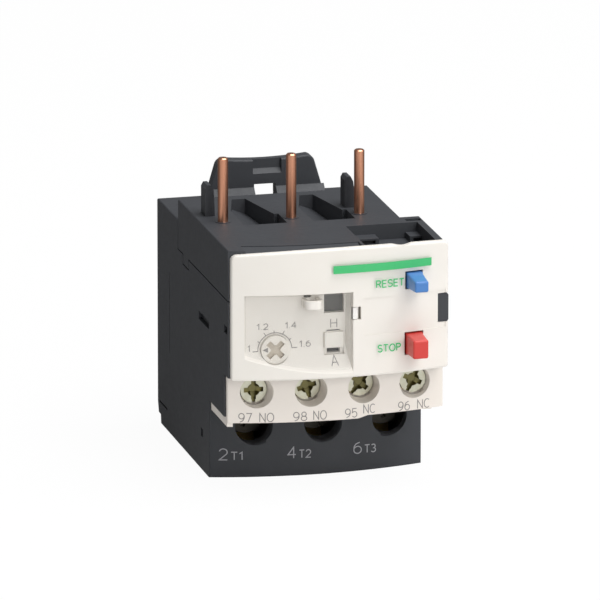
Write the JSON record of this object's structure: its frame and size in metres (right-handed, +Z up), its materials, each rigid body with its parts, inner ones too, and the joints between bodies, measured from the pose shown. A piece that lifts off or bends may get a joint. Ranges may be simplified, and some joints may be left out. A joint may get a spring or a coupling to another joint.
{
  "type": "thermal overload relay",
  "caption": "Plug-in thermal overload relay: dark case with contactor pins, setting dial under a clear flap, reset and stop buttons, screw terminals, and a trip mechanism inside.",
  "frame": {"origin": "middle of the bounding box in plan, at the underside", "axes": "+Z up along the pins, -Y out of the front cover, +X to the right seen from the front"},
  "size_m": [0.045, 0.07, 0.0645],
  "materials": {
    "dark_plastic": "fine spark-eroded texture",
    "pale_plastic": "satin moulded",
    "clear_plastic": "clear moulded",
    "blue_plastic": "semi-gloss moulded",
    "red_plastic": "semi-gloss moulded",
    "mechanism_plastic": "moulded",
    "flag_plastic": "moulded",
    "sleeve": "woven glass sleeve",
    "copper": "drawn bare copper",
    "contact_brass": "stamped",
    "zinc_steel": "yellowish zinc plate",
    "spring_steel": "drawn wire",
    "bimetal_strip": "rolled",
    "winding": "drawn resistance wire"
  },
  "bodies": {
    "housing": {"base_housing": "dark_plastic", "upper_housing": "dark_plastic", "front_cover": "pale_plastic", "terminal_block": "pale_plastic", "reset_spring": "spring_steel", "stop_spring": "spring_steel", "carrier_spring": "spring_steel", "release_lever_pin": "zinc_steel", "trip_lever_pin": "zinc_steel", "contact_strip_97": "contact_brass", "contact_strip_98": "contact_brass", "contact_strip_95": "contact_brass", "contact_strip_96": "contact_brass", "power_terminal_1": "copper", "power_terminal_2": "copper", "power_terminal_3": "copper", "power_pin_1": "copper", "power_pin_2": "copper", "power_pin_3": "copper"},
    "flap": {"setting_flap": "clear_plastic"},
    "reset": {"reset_button": "blue_plastic"},
    "stop": {"stop_button": "red_plastic"},
    "dial": {"setting_dial": "pale_plastic", "setting_cam": "dark_plastic"},
    "slider": {"mode_slider": "pale_plastic"},
    "slides": {"slide_bar_front": "mechanism_plastic", "slide_bar_rear": "mechanism_plastic", "differential_lever": "mechanism_plastic"},
    "release": {"release_lever": "mechanism_plastic", "compensating_strip": "bimetal_strip"},
    "trip": {"trip_lever": "mechanism_plastic", "trip_flag": "flag_plastic"},
    "carrier": {"contact_carrier": "mechanism_plastic", "open_bridge": "contact_brass", "closed_bridge": "contact_brass"},
    "bimetal_1_body": {"bimetal_1": "bimetal_strip", "insulation_sleeve_1": "sleeve", "heater_winding_1": "winding"},
    "bimetal_2_body": {"bimetal_2": "bimetal_strip", "insulation_sleeve_2": "sleeve", "heater_winding_2": "winding"},
    "bimetal_3_body": {"bimetal_3": "bimetal_strip", "insulation_sleeve_3": "sleeve", "heater_winding_3": "winding"},
    "clamp_1": {"terminal_washer_1": "zinc_steel"},
    "screw_1": {"terminal_screw_1": "zinc_steel"},
    "clamp_2": {"terminal_washer_2": "zinc_steel"},
    "screw_2": {"terminal_screw_2": "zinc_steel"},
    "clamp_3": {"terminal_washer_3": "zinc_steel"},
    "screw_3": {"terminal_screw_3": "zinc_steel"},
    "clamp_4": {"terminal_washer_4": "zinc_steel"},
    "screw_4": {"terminal_screw_4": "zinc_steel"},
    "power_clamp_1": {"power_washer_1": "zinc_steel"},
    "power_screw_1_body": {"power_screw_1": "zinc_steel"},
    "power_clamp_2": {"power_washer_2": "zinc_steel"},
    "power_screw_2_body": {"power_screw_2": "zinc_steel"},
    "power_clamp_3": {"power_washer_3": "zinc_steel"},
    "power_screw_3_body": {"power_screw_3": "zinc_steel"}
  },
  "joints": [
    {"name": "flap_swing", "type": "hinge", "parent": "housing", "child": "flap", "pos_m": [0.0028, -0.0292, 0.0379], "axis": [0, 0, 1], "range_deg": [0, 100]},
    {"name": "reset_press", "type": "slide", "parent": "housing", "child": "reset", "axis": [0, 1, 0], "range_m": [0, 0.0025], "stiffness_N_per_m": 400, "springref_m": -0.0005, "deforming": ["reset_spring"]},
    {"name": "stop_press", "type": "slide", "parent": "housing", "child": "stop", "axis": [0, 1, 0], "range_m": [0, 0.0025], "stiffness_N_per_m": 400, "springref_m": -0.0005, "deforming": ["stop_spring"]},
    {"name": "dial_turn", "type": "hinge", "parent": "housing", "child": "dial", "pos_m": [-0.01326, -0.027, 0.03083], "axis": [0, 1, 0], "range_deg": [0, 187]},
    {"name": "slider_shift", "type": "slide", "parent": "housing", "child": "slider", "axis": [0, 0, -1], "range_m": [0, 0.0012]},
    {"name": "trip_slide", "type": "slide", "parent": "housing", "child": "slides", "axis": [1, 0, 0], "range_m": [0, 0.0015], "stiffness_N_per_m": 800, "springref_m": -0.0003},
    {"name": "release_swing", "type": "hinge", "parent": "housing", "child": "release", "pos_m": [0.0049, 0, 0.0423], "axis": [0, 0, -1], "range_deg": [0, 3.92]},
    {"name": "trip_swing", "type": "hinge", "parent": "housing", "child": "trip", "pos_m": [0.003, -0.02445, 0.033], "axis": [0, -1, 0], "range_deg": [0, 27.01]},
    {"name": "carrier_lift", "type": "slide", "parent": "housing", "child": "carrier", "axis": [0, 0, 1], "range_m": [0, 0.00145], "deforming": ["carrier_spring"]},
    {"name": "bimetal_bend_1", "type": "hinge", "parent": "housing", "child": "bimetal_1_body", "pos_m": [-0.0146, 0.024, 0.00335], "axis": [0, 1, 0], "range_deg": [0, 2.51]},
    {"name": "bimetal_bend_2", "type": "hinge", "parent": "housing", "child": "bimetal_2_body", "pos_m": [-0.0005, 0.024, 0.00335], "axis": [0, 1, 0], "range_deg": [0, 2.51]},
    {"name": "bimetal_bend_3", "type": "hinge", "parent": "housing", "child": "bimetal_3_body", "pos_m": [0.0136, 0.024, 0.00335], "axis": [0, 1, 0], "range_deg": [0, 2.51]},
    {"name": "clamp_slide_1", "type": "slide", "parent": "housing", "child": "clamp_1", "axis": [0, -1, 0], "range_m": [0, 0.0021]},
    {"name": "screw_turn_1", "type": "hinge", "parent": "clamp_1", "child": "screw_1", "pos_m": [-0.0165, -0.022, 0.02145], "axis": [0, -1, 0], "range_deg": [0, 1083]},
    {"name": "clamp_slide_2", "type": "slide", "parent": "housing", "child": "clamp_2", "axis": [0, -1, 0], "range_m": [0, 0.0021]},
    {"name": "screw_turn_2", "type": "hinge", "parent": "clamp_2", "child": "screw_2", "pos_m": [-0.00557, -0.022, 0.02145], "axis": [0, -1, 0], "range_deg": [0, 1083]},
    {"name": "clamp_slide_3", "type": "slide", "parent": "housing", "child": "clamp_3", "axis": [0, -1, 0], "range_m": [0, 0.0021]},
    {"name": "screw_turn_3", "type": "hinge", "parent": "clamp_3", "child": "screw_3", "pos_m": [0.00537, -0.022, 0.02145], "axis": [0, -1, 0], "range_deg": [0, 1083]},
    {"name": "clamp_slide_4", "type": "slide", "parent": "housing", "child": "clamp_4", "axis": [0, -1, 0], "range_m": [0, 0.0021]},
    {"name": "screw_turn_4", "type": "hinge", "parent": "clamp_4", "child": "screw_4", "pos_m": [0.0163, -0.022, 0.02145], "axis": [0, -1, 0], "range_deg": [0, 1083]},
    {"name": "power_clamp_slide_1", "type": "slide", "parent": "housing", "child": "power_clamp_1", "axis": [0, -1, 0], "range_m": [-0.0045, 0]},
    {"name": "power_screw_turn_1", "type": "hinge", "parent": "power_clamp_1", "child": "power_screw_1_body", "pos_m": [-0.0137, -0.003, 0.0107], "axis": [0, -1, 0], "range_deg": [-1805, 0]},
    {"name": "power_clamp_slide_2", "type": "slide", "parent": "housing", "child": "power_clamp_2", "axis": [0, -1, 0], "range_m": [-0.0045, 0]},
    {"name": "power_screw_turn_2", "type": "hinge", "parent": "power_clamp_2", "child": "power_screw_2_body", "pos_m": [0.0004, -0.003, 0.0107], "axis": [0, -1, 0], "range_deg": [-1805, 0]},
    {"name": "power_clamp_slide_3", "type": "slide", "parent": "housing", "child": "power_clamp_3", "axis": [0, -1, 0], "range_m": [-0.0045, 0]},
    {"name": "power_screw_turn_3", "type": "hinge", "parent": "power_clamp_3", "child": "power_screw_3_body", "pos_m": [0.0145, -0.003, 0.0107], "axis": [0, -1, 0], "range_deg": [-1805, 0]}
  ],
  "couplings": [
    {"joint": "release_swing", "follows": "trip_slide", "rad_per_m": 45.45},
    {"joint": "trip_swing", "follows": "trip_slide", "rad_per_m": 314},
    {"joint": "carrier_lift", "follows": "trip_slide", "ratio": 0.9667},
    {"joint": "bimetal_bend_1", "follows": "trip_slide", "rad_per_m": 29.1},
    {"joint": "bimetal_bend_2", "follows": "trip_slide", "rad_per_m": 29.1},
    {"joint": "bimetal_bend_3", "follows": "trip_slide", "rad_per_m": 29.1},
    {"joint": "screw_turn_1", "follows": "clamp_slide_1", "rad_per_m": 8976},
    {"joint": "screw_turn_2", "follows": "clamp_slide_2", "rad_per_m": 8976},
    {"joint": "screw_turn_3", "follows": "clamp_slide_3", "rad_per_m": 8976},
    {"joint": "screw_turn_4", "follows": "clamp_slide_4", "rad_per_m": 8976},
    {"joint": "power_screw_turn_1", "follows": "power_clamp_slide_1", "rad_per_m": 6981.3},
    {"joint": "power_screw_turn_2", "follows": "power_clamp_slide_2", "rad_per_m": 6981.3},
    {"joint": "power_screw_turn_3", "follows": "power_clamp_slide_3", "rad_per_m": 6981.3}
  ]
}
